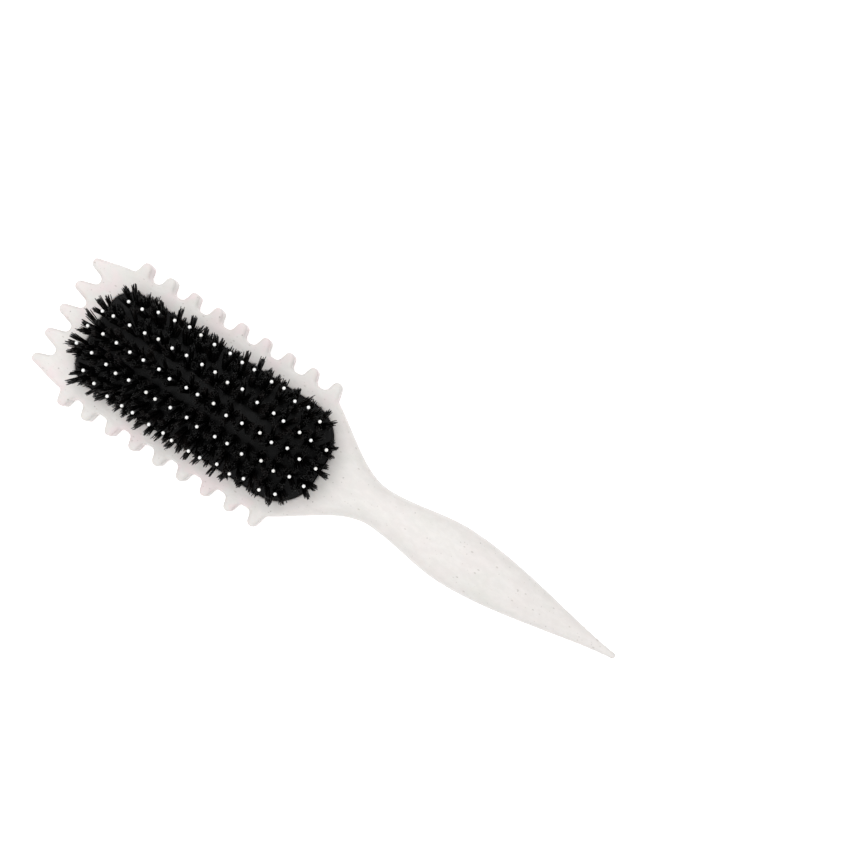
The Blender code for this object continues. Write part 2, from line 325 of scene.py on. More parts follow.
@dataclass(frozen=True)
class StrawPolypropylene:
    """Wheat-straw filled polypropylene, injection moulded.

    The filler gives a warm off-white body colour with faint pink and grey-green clouds, pinker in
    the thin teeth and rims, fine mealy mottling, pale husks drawn out by the flow, and sparse dark
    straw specks.
    """

    base: str = "#CAC7C4"
    pale: str = "#D0CDCA"
    pink: str = "#D3C4C5"
    green: str = "#C5C5BF"
    speck: str = "#625C58"
    husk: str = "#9C958F"
    cloud_mm: float = 11.0
    meal_mm: float = 2.4
    skin_mm: float = 0.5
    flow_stretch: tuple[float, float, float] = (0.55, 1.0, 1.0)
    pink_everywhere: float = 0.12
    pink_when_thin: float = 0.6
    green_share: float = 0.4
    thin_side_mm: tuple[float, float] = (19.0, 28.0)
    thin_front_mm: tuple[float, float] = (106.0, 114.0)
    husks: Flecks = Flecks(1.6, 0.24, 0.5, 0.5)
    specks: tuple[Flecks, ...] = (
        Flecks(2.3, 0.13, 0.45, 0.55),
        Flecks(4.1, 0.1, 0.5, 0.45),
        Flecks(1.25, 0.2, 0.5, 0.34),
    )

    def thinness(
        self, tree: bpy.types.NodeTree, where: bpy.types.NodeSocket
    ) -> bpy.types.NodeSocket:
        """Find where the moulding is thin: its long sides and its front.

        Args:
            tree: the material's node tree.
            where: the object's coordinates.

        Returns:
            A share that is one in the teeth and nought in the middle.
        """
        axes = add_node(tree, "SeparateXYZ", {"Vector": where})
        off_axis = math_node(tree, "ABSOLUTE", axes.outputs[1])
        sides = ramp(tree, off_axis, *(mm * MM for mm in self.thin_side_mm))
        front = ramp(tree, axes.outputs[0], *(mm * MM for mm in self.thin_front_mm))
        return math_node(tree, "MAXIMUM", sides, front)

    def colour(
        self,
        tree: bpy.types.NodeTree,
        where: bpy.types.NodeSocket,
        flow: bpy.types.NodeSocket,
        meal: bpy.types.NodeSocket,
    ) -> bpy.types.NodeSocket:
        """Lay the mottling, the clouds, the husks and the specks over each other.

        Args:
            tree: the material's node tree.
            where: the object's coordinates.
            flow: the same, drawn out along the brush.
            meal: the fine mottling.

        Returns:
            The surface colour.
        """
        cloud = noise(tree, where, self.cloud_mm, 3.0, 0.6)
        tints = add_node(tree, "SeparateColor", {"Color": cloud.outputs["Color"]})
        pinker = ramp(tree, tints.outputs[0], 0.42, 0.62)
        greener = ramp(tree, tints.outputs[1], 0.52, 0.75)
        thin = self.thinness(tree, where)
        reach = math_node(tree, "MULTIPLY_ADD", thin, self.pink_when_thin, self.pink_everywhere)
        layers = [
            (ramp(tree, meal, 0.35, 0.7), self.pale),
            (math_node(tree, "MULTIPLY", pinker, reach), self.pink),
            (math_node(tree, "MULTIPLY", greener, self.green_share), self.green),
            (self.husks.mask(tree, flow), self.husk),
        ]
        layers += [(kind.mask(tree, where), self.speck) for kind in self.specks]
        colour = linear(self.base)
        for share, over in layers:
            colour = blend_colour(tree, share, colour, linear(over))
        return colour

    def build(self) -> bpy.types.Material:
        """Make the material.

        Returns:
            The material.
        """
        material, tree, shader, where = new_material(
            "straw_polypropylene_moulded",
            IOR=1.49,
            Subsurface_Weight=0.12,
            Subsurface_Radius=(1.0, 0.75, 0.6),
            Subsurface_Scale=1.2 * MM,
        )
        flow = add_node(tree, "Mapping", {"Vector": where, "Scale": self.flow_stretch}).outputs[0]
        meal = noise(tree, flow, self.meal_mm, 4.0, 0.65).outputs["Fac"]
        tree.links.new(self.colour(tree, where, flow, meal), shader.inputs["Base Color"])

        rough = add_node(tree, "MapRange", {"Value": meal, "To Min": 0.38, "To Max": 0.54})
        tree.links.new(rough.outputs[0], shader.inputs["Roughness"])

        skin = noise(tree, where, self.skin_mm, 2.0)
        lumps = math_node(tree, "MULTIPLY_ADD", meal, 2.0, skin.outputs["Fac"])
        bump = add_node(tree, "Bump", {"Height": lumps, "Strength": 0.12, "Distance": 0.2 * MM})
        tree.links.new(bump.outputs[0], shader.inputs["Normal"])
        return material


@dataclass(frozen=True)
class PadPlastic:
    """Black ABS, moulded satin: a soft sheen on a deep black, with a light dusting of lint."""

    base: str = "#060607"
    lint: str = "#131312"
    grain_mm: float = 0.6
    lint_mm: float = 1.8

    def build(self) -> bpy.types.Material:
        """Make the material.

        Returns:
            The material.
        """
        material, tree, shader, where = new_material(
            "black_abs_moulded_satin", IOR=1.45, Specular_IOR_Level=0.15
        )
        dust = noise(tree, where, self.lint_mm, 5.0, 0.7).outputs["Fac"]
        share = ramp(tree, dust, 0.55, 0.8)
        colour = blend_colour(tree, share, linear(self.base), linear(self.lint))
        tree.links.new(colour, shader.inputs["Base Color"])
        rough = add_node(tree, "MapRange", {"Value": dust, "To Min": 0.36, "To Max": 0.6})
        tree.links.new(rough.outputs[0], shader.inputs["Roughness"])
        grain = noise(tree, where, self.grain_mm, 2.0)
        bump = add_node(
            tree, "Bump", {"Height": grain.outputs["Fac"], "Strength": 0.1, "Distance": 0.1 * MM}
        )
        tree.links.new(bump.outputs[0], shader.inputs["Normal"])
        return material


@dataclass(frozen=True)
class PinNylon:
    """Black nylon, extruded: a smooth glossy monofilament with faint drawing lines along it."""

    base: str = "#161617"
    worn: str = "#2E2D2D"
    line_mm: float = 0.25
    drawn_out: tuple[float, float, float] = (1.0, 1.0, 0.08)

    def build(self) -> bpy.types.Material:
        """Make the material.

        Returns:
            The material.
        """
        material, tree, shader, where = new_material(
            "black_nylon_extruded", Roughness=0.3, IOR=1.53
        )
        along = add_node(tree, "Mapping", {"Vector": where, "Scale": self.drawn_out}).outputs[0]
        lines = noise(tree, along, self.line_mm, 1.0)
        share = ramp(tree, lines.outputs["Fac"], 0.4, 0.75)
        colour = blend_colour(tree, share, linear(self.base), linear(self.worn))
        tree.links.new(colour, shader.inputs["Base Color"])
        return material


@dataclass(frozen=True)
class BallCoat:
    """White epoxy, dipped: a thick drop with a wet gloss and a slightly creamy, uneven tint."""

    base: str = "#E2E2E1"
    cream: str = "#D9D7D2"
    drop_mm: float = 3.0

    def build(self) -> bpy.types.Material:
        """Make the material.

        Returns:
            The material.
        """
        material, tree, shader, where = new_material(
            "white_epoxy_dipped", Roughness=0.22, IOR=1.55
        )
        tint = noise(tree, where, self.drop_mm, 2.0)
        share = ramp(tree, tint.outputs["Fac"], 0.45, 0.7)
        colour = blend_colour(tree, share, linear(self.base), linear(self.cream))
        tree.links.new(colour, shader.inputs["Base Color"])
        return material


@dataclass(frozen=True)
class BristleFilament:
    """Black-brown bristle, bundled: each hair has its own black, with painted highlight streaks."""

    base: str = "#060606"
    brown: str = "#151110"
    # painted highlight: the grey of the streaks along the hairs
    grey: str = "#232222"
    sheen_streak_mm: float = 0.7
    clump_mm: float = 7.0
    drawn_out: tuple[float, float, float] = (1.0, 1.0, 0.12)

    def build(self) -> bpy.types.Material:
        """Make the material.

        Returns:
            The material.
        """
        material, tree, shader, where = new_material(
            "black_bristle_bundled", Roughness=0.4, IOR=1.5, Specular_IOR_Level=0.3
        )
        strands = add_node(tree, "Mapping", {"Vector": where, "Scale": self.drawn_out}).outputs[0]
        # painted highlight: grey streaks drawn out along the hairs stand for the light they catch
        hairs = noise(tree, strands, self.sheen_streak_mm, 2.0)
        clumps = noise(tree, where, self.clump_mm, 1.0)
        brownness = ramp(tree, clumps.outputs["Fac"], 0.45, 0.7)
        browner = blend_colour(tree, brownness, linear(self.base), linear(self.brown))
        painted_sheen_share = math_node(tree, "MULTIPLY", ramp(tree, hairs.outputs["Fac"], 0.5, 0.72), 0.7)
        colour = blend_colour(tree, painted_sheen_share, browner, linear(self.grey))
        tree.links.new(colour, shader.inputs["Base Color"])
        return material


@dataclass(frozen=True)
class PaperSweep:
    """White paper backdrop, matt: an even white with a barely seen tooth; it emits painted light
    that washes out shadows.
    """

    base: str = "#F6F6F6"
    pale: str = "#F8F8F8"
    tooth_mm: float = 3.0
    # painted light: the floor emits light to wash out the brush's shadows and to light its sides
    # from below
    painted_glow: float = 0.35

    def build(self) -> bpy.types.Material:
        """Make the material.

        Returns:
            The material.
        """
        material, tree, shader, where = new_material(
            "paper_sweep_matt",
            Roughness=0.9,
            Specular_IOR_Level=0.2,
            # painted light: the floor's own emission
            Emission_Color=(1.0, 1.0, 1.0, 1.0),
            Emission_Strength=self.painted_glow,
        )
        tooth = noise(tree, where, self.tooth_mm, 2.0)
        share = ramp(tree, tooth.outputs["Fac"], 0.3, 0.7)
        colour = blend_colour(tree, share, linear(self.base), linear(self.pale))
        tree.links.new(colour, shader.inputs["Base Color"])
        return material


# Sizes shared by the sub-assemblies


@dataclass(frozen=True)
class HeadPlan:
    """Main places of the brush in metres, from the frame's own boxes."""

    tail_x: float
    front_x: float
    tooth_y: float
    pad_rear: float
    pad_front: float
    pad_half: float
    grip_length: float = 142 * MM  # tail to the end of the shoulder
    front_tooth_length: float = 8.1 * MM
    side_tooth_length: float = 5.25 * MM
    rear_inset: float = 1.6 * MM  # shoulder's end to the first side tooth
    front_inset: float = 12.3 * MM  # last side tooth to the front gaps' floor
    side_teeth: int = 9

    @classmethod
    def from_frame(cls) -> "HeadPlan":
        """Read the boxes of the body and the pad.

        Returns:
            The plan.
        """
        body_low, body_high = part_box("body")
        pad_low, pad_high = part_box("bristle_pad")
        return cls(body_low.x, body_high.x, body_high.y, pad_low.x, pad_high.x, pad_high.y)

    @property
    def head_x(self) -> float:
        """Where the shoulder ends and the head's sides run straight."""
        return self.tail_x + self.grip_length

    @property
    def gap_x(self) -> float:
        """Floor of the gaps between the front teeth."""
        return self.front_x - self.front_tooth_length

    @property
    def half_width(self) -> float:
        """Half the head's width at the floor of the side gaps."""
        return self.tooth_y - self.side_tooth_length

    @property
    def tooth_places(self) -> list[float]:
        """Where the side teeth and the ribs stand along the head."""
        first = self.head_x + self.rear_inset
        last = self.gap_x - self.front_inset
        steps = self.side_teeth - 1
        return [first + (last - first) * i / steps for i in range(self.side_teeth)]


@dataclass(frozen=True)
class PadDome:
    """The pad's outline and its shallow dome."""

    plan: HeadPlan
    rim_z: float = 11.5 * MM
    crown: float = 6.0 * MM
    front_radius: float = 9.0 * MM
    rear_radius: float = 15.0 * MM

    @property
    def centre_x(self) -> float:
        """Middle of the pad's length."""
        return (self.plan.pad_rear + self.plan.pad_front) / 2

    @property
    def half_length(self) -> float:
        """Half the pad's length."""
        return (self.plan.pad_front - self.plan.pad_rear) / 2

    def height(self, x: float, y: float) -> float:
        """Find the height of the dome over a place in the head's plane.

        Args:
            x: place along the brush.
            y: place across it.

        Returns:
            The height.
        """
        along = (x - self.centre_x) / self.half_length
        across = y / self.plan.pad_half
        return self.rim_z + self.crown * max(0.0, 1 - along**2) * max(0.0, 1 - across**2)

    def normal(self, x: float, y: float) -> Vector:
        """Find the direction straight out of the dome at a place.

        Args:
            x: place along the brush.
            y: place across it.

        Returns:
            A unit vector.
        """
        step = 0.1 * MM
        slope_x = (self.height(x + step, y) - self.height(x - step, y)) / (2 * step)
        slope_y = (self.height(x, y + step) - self.height(x, y - step)) / (2 * step)
        return Vector((-slope_x, -slope_y, 1.0)).normalized()

    def half_width(self, x: float, offset: float = 0.0) -> float:
        """Find half the outline's width at a place along the brush.

        Args:
            x: the place.
            offset: how far the outline is grown.

        Returns:
            Half the width there.
        """
        side = self.plan.pad_half + offset
        half = side
        for gap, corner in (
            (self.plan.pad_front + offset - x, self.front_radius),
            (x - self.plan.pad_rear + offset, self.rear_radius),
        ):
            radius = corner + offset
            if gap < radius:
                arc = math.sqrt(max(0.0, radius**2 - (radius - gap) ** 2))
                half = min(half, side - radius + arc)
        return half

    def plate(self, offset: float, columns: int, rows: int) -> bmesh.types.BMesh:
        """Start a flat sheet in the shape of the outline.

        Args:
            offset: how far the outline is grown.
            columns: faces along the pad.
            rows: faces across it.

        Returns:
            A bmesh grid at z of nought, closest together at the two ends.
        """
        maker = bmesh.new()
        bmesh.ops.create_grid(maker, x_segments=columns, y_segments=rows, size=1.0)
        reach = self.half_length + offset
        for vert in maker.verts:
            x = self.centre_x + math.sin(vert.co.x * math.pi / 2) * reach
            vert.co = Vector((x, vert.co.y * self.half_width(x, offset), 0.0))
        return maker

    def drop_wall(self, maker: bmesh.types.BMesh, low: float) -> None:
        """Pull the sheet's edge down to a level, and close it there.

        Args:
            maker: the sheet.
            low: the level.
        """
        rim = [edge for edge in maker.edges if edge.is_boundary]
        made = bmesh.ops.extrude_edge_only(maker, edges=rim)
        for vert in [part for part in made["geom"] if isinstance(part, bmesh.types.BMVert)]:
            vert.co.z = low
        close_open_rim(maker)


# The moulded body


@dataclass(frozen=True)
class Station:
    """One cross-section of the grip and head.

    The slopes are those of the outline on either side of it, edge is the share of the half-width
    that its rounded side takes, and a square of 2 is an oval.
    """

    x: float
    half: float
    slope_before: float
    slope_after: float
    thick: float
    middle: float
    edge: float
    square: float


@dataclass
class MouldedBody:
    """Head with comb teeth, ribbed back, grip and tail, moulded in one."""

    plan: HeadPlan
    dome: PadDome
    ring_steps: int = 56
    station_step: float = 1.6 * MM
    # Grip: half-widths and thicknesses at the tail's tip, the leaf's widest place and the neck.
    leaf_reach: float = 72 * MM
    neck_reach: float = 106 * MM
    tip_half: float = 1.1 * MM
    leaf_half: float = 11.85 * MM
    neck_half: float = 7.85 * MM
    tip_thick: float = 1.8 * MM
    leaf_thick: float = 12.0 * MM
    neck_thick: float = 10.5 * MM
    grip_z: float = 6.3 * MM
    tail_flare: float = 0.117
    # Head
    shoulder_flare: float = 0.53
    front_flare: float = -0.1
    head_thick: float = 9.5 * MM
    front_thick: float = 8.9 * MM
    head_z: float = 6.25 * MM
    side_roll: float = 0.23
    most_roll: float = 0.92
    front_narrowing: float = 1.5 * MM
    front_setback: float = 0.75 * MM
    # Ribs and teeth
    rib_width: float = 5.0 * MM
    rib_root: float = 3.4 * MM
    rib_edge: float = 0.5 * MM
    tooth_top: float = 10.8 * MM
    tooth_low: float = 1.7 * MM
    tooth_edge: float = 0.8 * MM
    side_root: float = 5.8 * MM
    side_tip: float = 3.3 * MM
    side_fillet: float = 1.4 * MM
    side_round: float = 1.4 * MM
    side_overlap: float = 5.5 * MM
    side_margin: float = 0.6 * MM
    front_teeth: int = 5
    front_root: float = 7.6 * MM
    front_tip: float = 3.2 * MM
    front_fillet: float = 1.4 * MM
    front_round: float = 1.2 * MM
    front_bow: float = 1.3 * MM
    front_clearance: float = 0.7 * MM
    front_margin: float = 0.4 * MM
    corner_inset: float = 5.35 * MM
    # Pocket and skin
    pocket_gap: float = 0.3 * MM
    pocket_floor: float = 4.0 * MM
    pocket_top: float = 20 * MM
    voxel: float = 0.57 * MM
    softening: int = 4

    def stations(self) -> list[Station]:
        """List the cross-sections that set the outline, from the tail to the front.

        Returns:
            The sections.
        """
        plan, grip_z, head_z = self.plan, self.grip_z, self.head_z
        tail, half = plan.tail_x, plan.half_width
        leaf, neck = tail + self.leaf_reach, tail + self.neck_reach
        edge = self.side_roll * self.head_thick / half
        taper = plan.gap_x - plan.front_inset + self.side_root / 3
        front = plan.gap_x - self.front_setback
        narrow = half - self.front_narrowing
        return [
            Station(tail, self.tip_half, 0.0, self.tail_flare, self.tip_thick, grip_z, 1.0, 2.2),
            Station(leaf, self.leaf_half, 0.0, 0.0, self.leaf_thick, grip_z, 1.0, 2.2),
            Station(neck, self.neck_half, 0.0, 0.0, self.neck_thick, grip_z, 1.0, 2.3),
            Station(
                plan.head_x, half, self.shoulder_flare, 0.0, self.head_thick, head_z, edge, 3.0
            ),
            Station(taper, half, 0.0, 0.0, self.head_thick, head_z, edge, 3.0),
            Station(front, narrow, self.front_flare, 0.0, self.front_thick, head_z, edge, 3.0),
        ]

    def between(self, start: Station, end: Station, share: float) -> Station:
        """Find a cross-section part of the way between two.

        Args:
            start: the section before it.
            end: the section after it.
            share: how far along it lies, from nought to one.

        Returns:
            The section there, with its width on a smooth curve.
        """
        run = end.x - start.x
        square, cube = share**2, share**3
        half = (
            start.half * (2 * cube - 3 * square + 1)
            + start.slope_after * run * (cube - 2 * square + share)
            + end.half * (3 * square - 2 * cube)
            + end.slope_before * run * (cube - square)
        )
        ease = 3 * square - 2 * cube
        rest = [
            getattr(start, name) + (getattr(end, name) - getattr(start, name)) * ease
            for name in ("thick", "middle", "edge", "square")
        ]
        return Station(start.x + run * share, half, 0.0, 0.0, *rest)

    def grip_and_head(self) -> bmesh.types.BMesh:
        """Pull one ring of edges along the brush, and shape it section by section.

        Returns:
            The closed shell.
        """
        sections = []
        knots = self.stations()
        for start, end in zip(knots, knots[1:]):
            count = max(2, round((end.x - start.x) / self.station_step))
            sections += [self.between(start, end, i / count) for i in range(count)]
        sections.append(knots[-1])

        maker = bmesh.new()
        turned = Matrix.Rotation(math.pi / self.ring_steps, 4, "Z")
        upright = Matrix.Rotation(math.pi / 2, 4, "Y")
        bmesh.ops.create_circle(
            maker, segments=self.ring_steps, radius=1.0, matrix=upright @ turned
        )
        ring = maker.edges[:]
        for _ in sections[1:]:
            before = set(maker.verts)
            bmesh.ops.extrude_edge_only(maker, edges=ring)
            fresh = [vert for vert in maker.verts if vert not in before]
            bmesh.ops.translate(maker, verts=fresh, vec=(1.0, 0.0, 0.0))
            kept = set(fresh)
            ring = [edge for edge in maker.edges if kept.issuperset(edge.verts)]
        for vert in maker.verts:
            section = sections[round(vert.co.x)]
            run = min(section.edge, self.most_roll) * section.half
            power = 2 / section.square
            across = section.half - run + run * abs(vert.co.y) ** power
            up = section.thick / 2 * abs(vert.co.z) ** power
            y = math.copysign(across, vert.co.y)
            z = section.middle + math.copysign(up, vert.co.z)
            vert.co = Vector((section.x, y, z))
        close_open_rim(maker)
        return maker

    def slab(
        self, corners: list[Corner], low: float, high: float, edge: float
    ) -> bmesh.types.BMesh:
        """Raise a flat outline into a bar with rounded corners and softened rims.

        Args:
            corners: x, y and rounding radius of each corner, in order.
            low: level of its lower face.
            high: level of its upper face.
            edge: rounding of both rims.

        Returns:
            The closed bar.
        """
        bevel = {"profile": 0.5, "material": -1}
        maker = bmesh.new()
        verts = [maker.verts.new((x, y, low)) for x, y, _ in corners]
        maker.faces.new(verts)
        for vert, (_, _, radius) in zip(verts, corners):
            if radius:
                bmesh.ops.bevel(
                    maker, geom=[vert], offset=radius, segments=5, affect="VERTICES", **bevel
                )
        made = bmesh.ops.extrude_face_region(maker, geom=maker.faces[:])
        top = [part for part in made["geom"] if isinstance(part, bmesh.types.BMVert)]
        bmesh.ops.translate(maker, verts=top, vec=(0.0, 0.0, high - low))
        bmesh.ops.recalc_face_normals(maker, faces=maker.faces[:])
        rims = [e for e in maker.edges if abs(e.verts[0].co.z - e.verts[1].co.z) < 1e-7]
        bmesh.ops.bevel(maker, geom=rims, offset=edge, segments=3, affect="EDGES", **bevel)
        return maker

    def rib(self, x: float) -> bmesh.types.BMesh:
        """Make the flat-topped rib that crosses the back and runs out under two side teeth.

        Args:
            x: its middle along the brush.

        Returns:
            The closed bar.
        """
        half, tip = self.rib_width / 2, self.side_tip / 2
        reach, outer = self.plan.half_width, self.plan.tooth_y
        right = [
            (half, reach, 0.0),
            (tip, outer, self.side_round),
            (-tip, outer, self.side_round),
            (-half, reach, 0.0),
        ]
        corners = [(x + px, py, radius) for px, py, radius in right]
        corners += [(x - px, -py, radius) for px, py, radius in right]
        return self.slab(corners, 0.0, self.rib_root, self.rib_edge)

    def side_comb(self, side: Side) -> bmesh.types.BMesh:
        """Make the teeth of a long side as one comb, with rounded valleys between them.

        Args:
            side: which side.

        Returns:
            The closed comb.
        """
        root, tip = self.side_root / 2, self.side_tip / 2
        reach, outer = self.plan.half_width, self.plan.tooth_y
        inner = reach - self.side_overlap
        places = self.plan.tooth_places
        corners = [(places[0] - root - self.side_margin, inner, 0.0)]
        for x in places:
            corners.append((x - root, reach, self.side_fillet if x != places[0] else 0.0))
            corners.append((x - tip, outer, self.side_round))
            corners.append((x + tip, outer, self.side_round))
            corners.append((x + root, reach, self.side_fillet if x != places[-1] else 0.0))
        corners.append((places[-1] + root + self.side_margin, inner, 0.0))
        placed = [(px, py * side.value, radius) for px, py, radius in corners]
        return self.slab(placed, self.tooth_low, self.tooth_top, self.tooth_edge)

    def front_comb(self) -> bmesh.types.BMesh:
        """Make the front teeth as one bowed comb.

        Returns:
            The closed comb.
        """
        gap_x = self.plan.gap_x
        back = self.plan.pad_front + self.front_clearance
        reach = self.plan.half_width - self.front_margin
        root, tip = self.front_root / 2, self.front_tip / 2
        corners = [(back, -reach, 0.0)]
        for i in range(self.front_teeth):
            share = 2 * i / (self.front_teeth - 1) - 1
            y = share * (self.plan.half_width - self.corner_inset)
            tip_x = self.plan.front_x - self.front_bow * share**2
            if i:
                corners.append((gap_x, y - root, self.front_fillet))
            corners.append((tip_x, y - tip, self.front_round))
            corners.append((tip_x, y + tip, self.front_round))
            if i < self.front_teeth - 1:
                corners.append((gap_x, y + root, self.front_fillet))
        corners.append((back, reach, 0.0))
        return self.slab(corners, self.tooth_low, self.tooth_top, self.tooth_edge)

    def pocket(self) -> bmesh.types.BMesh:
        """Make the solid that clears the pad's pocket.

        Returns:
            The closed cutter.
        """
        maker = self.dome.plate(self.pocket_gap, 48, 6)
        bmesh.ops.translate(maker, verts=maker.verts[:], vec=(0.0, 0.0, self.pocket_top))
        self.dome.drop_wall(maker, self.pocket_floor)
        return maker

    def build(self, finish: bpy.types.Material) -> bpy.types.Object:
        """Fuse the parts, soften them as a mould does, and dress them.

        Args:
            finish: the moulded plastic.

        Returns:
            The finished body.
        """
        shell = piece_from(self.grip_and_head(), "body_moulding")
        cutter = piece_from(self.pocket(), "pocket_cutter")
        cut = shell.modifiers.new("pocket", "BOOLEAN")
        cut.operation, cut.solver, cut.object = "DIFFERENCE", "EXACT", cutter
        bake_modifiers(shell)
        bpy.data.objects.remove(cutter)

        bars = [self.rib(x) for x in self.plan.tooth_places]
        bars += [self.side_comb(side) for side in Side]
        bars.append(self.front_comb())
        joined = bmesh.new()
        joined.from_mesh(shell.data)
        for bar in bars:
            scrap = bpy.data.meshes.new("bar")
            bar.to_mesh(scrap)
            bar.free()
            joined.from_mesh(scrap)
            bpy.data.meshes.remove(scrap)
        joined.to_mesh(shell.data)
        joined.free()

        fuse = shell.modifiers.new("fuse", "REMESH")
        fuse.mode, fuse.voxel_size, fuse.use_smooth_shade = "VOXEL", self.voxel, True
        soften = shell.modifiers.new("soften", "SMOOTH")
        soften.factor, soften.iterations = 0.5, self.softening
        bake_modifiers(shell)
        shell.data.materials.clear()
        shell.data.materials.append(finish)
        settle(shell, Slot.BODY, "body")
        return shell


# The pad, tufts and pins


@dataclass
class BristlePad:
    """Domed carrier that the tufts are set in."""

    dome: PadDome
    lip: float = 0.5 * MM
    foot_z: float = 4.3 * MM
    # Down and out for each step of the rolled edge, in millimetres.
    roll: tuple[tuple[float, float], ...] = ((0.15, 0.3), (0.35, 0.15), (0.5, 0.05))

    def build(self, finish: bpy.types.Material) -> bpy.types.Object:
        """Lift a sheet into the dome, roll its edge over, and close it below.

        Args:
            finish: the pad's plastic.

        Returns:
            The finished pad.
        """
        maker = self.dome.plate(-self.lip, 90, 40)
        for vert in maker.verts:
            vert.co.z = self.dome.height(vert.co.x, vert.co.y)
        for drop, out in self.roll:
            rim = [edge for edge in maker.edges if edge.is_boundary]
            made = bmesh.ops.extrude_edge_only(maker, edges=rim)
            for vert in [part for part in made["geom"] if isinstance(part, bmesh.types.BMVert)]:
                along = (vert.co.x - self.dome.centre_x) / self.dome.half_length
                across = vert.co.y / self.dome.plan.pad_half
                vert.co += Vector((along * out, across * out, -drop)) * MM
        self.dome.drop_wall(maker, self.foot_z)
        piece = piece_from(maker, "bristle_pad_dome")
        piece.data.materials.append(finish)
        settle(piece, Slot.PAD, "bristle_pad")
        return piece


@dataclass
class BristleField:
    """Five rows of tufts, each tuft with a ball-tipped pin in its middle.

    Real hairs are finer and more. They are drawn half a millimetre wide, so that they show.
    """

    dome: PadDome
    counts: tuple[int, ...] = (15, 17, 17, 17, 15)
    end_margin: float = 3.6 * MM
    side_margin: float = 5.7 * MM
    hairs: int = 100
    locks: int = 5
    hair_width: float = 0.5 * MM
    hair_length: float = 12.4 * MM
    # Share of the length, and share of the width there.
    hair_taper: tuple[tuple[float, float], ...] = ((0.45, 0.95), (0.9, 0.85), (1.0, 0.55))
    hair_root: float = 0.6 * MM  # how deep its foot is set in the pad
    root_radius: float = 1.7 * MM
    lean_front: float = 0.27
    lean_rear: float = 0.12
    lean_side: float = 0.24
    outer_row: float = 0.6  # share of the half-width past which a row leans more
    outer_lean: float = 1.8
    pin_width: float = 1.0 * MM
    pin_thin: float = 0.84
    pin_root: float = 0.8 * MM
    pin_length: float = 13.6 * MM
    ball_width: float = 1.35 * MM
    seed: int = 7

    def seats(self, row: int) -> list[tuple[float, float]]:
        """List where the tufts of a row stand on the pad, from the rear to the front.

        Args:
            row: which row, from the right side.

        Returns:
            The x and y of each tuft.
        """
        most = max(self.counts) - 1
        pitch = (2 * self.dome.half_length - 2 * self.end_margin) / most
        spacing = (self.dome.plan.pad_half - self.side_margin) / 2
        y = (row - 2) * spacing
        middle = (self.counts[row] - 1) / 2
        return [(self.dome.centre_x + (i - middle) * pitch, y) for i in range(self.counts[row])]

    def hair(
        self, maker: bmesh.types.BMesh, foot: Vector, lean: Vector, length: float, bow: Vector
    ) -> None:
        """Add one tapered hair that bows as it rises.

        Args:
            maker: the bmesh that takes it.
            foot: where it leaves the pad.
            lean: unit direction that it sets off in.
            length: its length.
            bow: how far its tip is carried sideways.
        """
        width = self.hair_width / 2
        turn = lean.to_track_quat("Z", "Y").to_matrix().to_4x4()
        placed = Matrix.Translation(foot) @ turn
        made = bmesh.ops.create_circle(
            maker, cap_ends=True, segments=3, radius=width, matrix=placed
        )
        ring = list(dict.fromkeys(edge for vert in made["verts"] for edge in vert.link_edges))
        for share, thin in self.hair_taper:
            made = bmesh.ops.extrude_edge_only(maker, edges=ring)
            fresh = [part for part in made["geom"] if isinstance(part, bmesh.types.BMVert)]
            middle = foot + lean * length * share + bow * share**2
            old = sum((vert.co for vert in fresh), Vector()) / len(fresh)
            for vert in fresh:
                vert.co = middle + (vert.co - old).normalized() * width * thin
            kept = set(fresh)
            near = dict.fromkeys(edge for vert in fresh for edge in vert.link_edges)
            ring = [edge for edge in near if kept.issuperset(edge.verts)]
        maker.faces.new(fresh)

    def outward(self, seat: tuple[float, float]) -> Vector:
        """Find how a tuft leans towards the pad's nearest edges.

        Args:
            seat: where it stands on the pad.

        Returns:
            The sideways part of its direction.
        """
        along = (seat[0] - self.dome.centre_x) / self.dome.half_length
        across = seat[1] / self.dome.plan.pad_half
        ahead = (self.lean_front if along > 0 else self.lean_rear) * along**3
        if abs(across) > self.outer_row:
            ahead *= self.outer_lean
        return Vector((ahead, self.lean_side * across * (0.5 + max(0.0, along)), 0.0))

    def tuft(self, seat: tuple[float, float], chance: random.Random) -> bpy.types.Mesh:
        """Make one bundle of hairs, gathered in locks.

        Args:
            seat: where it stands on the pad.
            chance: the row's own seeded numbers.

        Returns:
            A mesh of its hairs.
        """
        maker = bmesh.new()
        normal = self.dome.normal(*seat)
        side = normal.cross(Vector((1.0, 0.0, 0.0))).normalized()
        ahead = side.cross(normal).normalized()
        tilt = normal + ahead * chance.gauss(0, 0.05) + side * chance.gauss(0, 0.04)
        centre = Vector((seat[0], seat[1], self.dome.height(*seat)))
        outward = self.outward(seat)
        locks = []
        for i in range(self.locks):
            angle = (i + chance.uniform(-0.3, 0.3)) * math.tau / self.locks
            splay = chance.uniform(0.14, 0.32) if i else 0.05
            drift = ahead * math.cos(angle) * splay + side * math.sin(angle) * splay
            locks.append((angle, drift + outward, chance.uniform(0.86, 1.06)))
        for i in range(self.hairs):
            share = math.sqrt((i + 0.5) / self.hairs)
            angle = i * HAIR_TURN
            out = ahead * math.cos(angle) + side * math.sin(angle)
            _, drift, reach = min(
                locks, key=lambda lock: abs((lock[0] - angle + math.pi) % math.tau - math.pi)
            )
            foot = centre + out * self.root_radius * share - normal * self.hair_root
            stray = ahead * chance.gauss(0, 0.024) + side * chance.gauss(0, 0.024)
            lean = (tilt + drift * (0.75 + 0.25 * share) + stray).normalized()
            length = self.hair_length * reach * chance.uniform(0.92, 1.03)
            bow = (drift * chance.uniform(0.5, 2.5) + stray * 4.0) * MM
            self.hair(maker, foot, lean, length, bow)
        bmesh.ops.recalc_face_normals(maker, faces=maker.faces[:])
        mesh = bpy.data.meshes.new("tuft")
        maker.to_mesh(mesh)
        maker.free()
        return mesh

